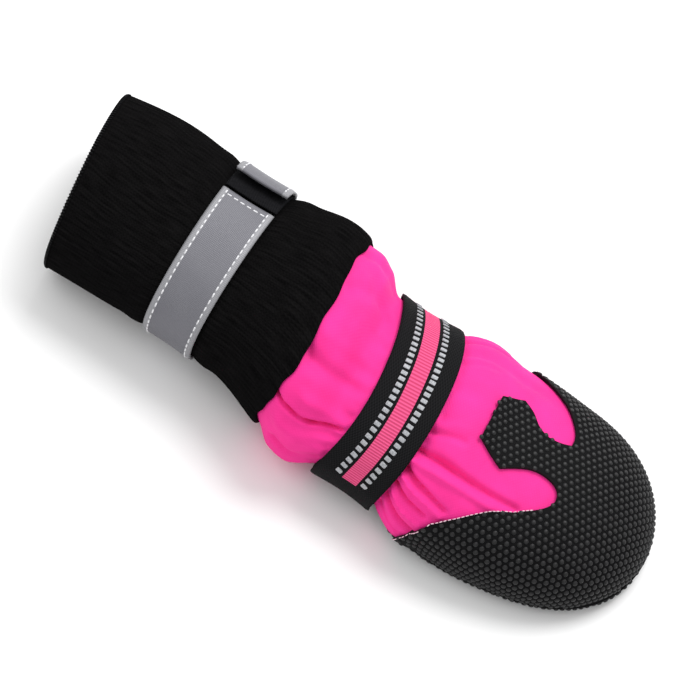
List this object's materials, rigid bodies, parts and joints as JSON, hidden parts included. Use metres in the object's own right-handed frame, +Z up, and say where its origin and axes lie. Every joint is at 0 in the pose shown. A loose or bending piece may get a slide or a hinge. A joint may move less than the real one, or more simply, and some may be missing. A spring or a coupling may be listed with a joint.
{
  "type": "dog shoe",
  "caption": "Long sock-style dog shoe: pink softshell foot, dotted rubberised toe cap and sole, woven ankle strap and a rib-knit shaft with a reflective strap.",
  "frame": {"origin": "middle of the shoe's bounding box, at the floor", "axes": "+X along the shoe towards the toe, +Y to the wearer's left, +Z up"},
  "size_m": [0.2634, 0.0978, 0.0532],
  "materials": {
    "softshell": "smooth matt softshell",
    "dotted_rubber": "fabric covered with small raised rubber dots",
    "insole_foam": "matt foam-backed jersey",
    "rib_knit": "ribbed knit",
    "webbing": "woven webbing with reflective dashes and a pink stripe",
    "hook_tape": "hook tape",
    "reflective": "satin grey reflective tape with white stitching"
  },
  "bodies": {
    "root": {"upper": "softshell", "sole": "dotted_rubber", "toe_cap": "dotted_rubber", "insole": "insole_foam", "cuff": "rib_knit", "ankle_strap": "webbing", "ankle_strap_hook_end": "hook_tape", "cuff_strap": "reflective", "cuff_strap_patch": "hook_tape"}
  },
  "joints": []
}
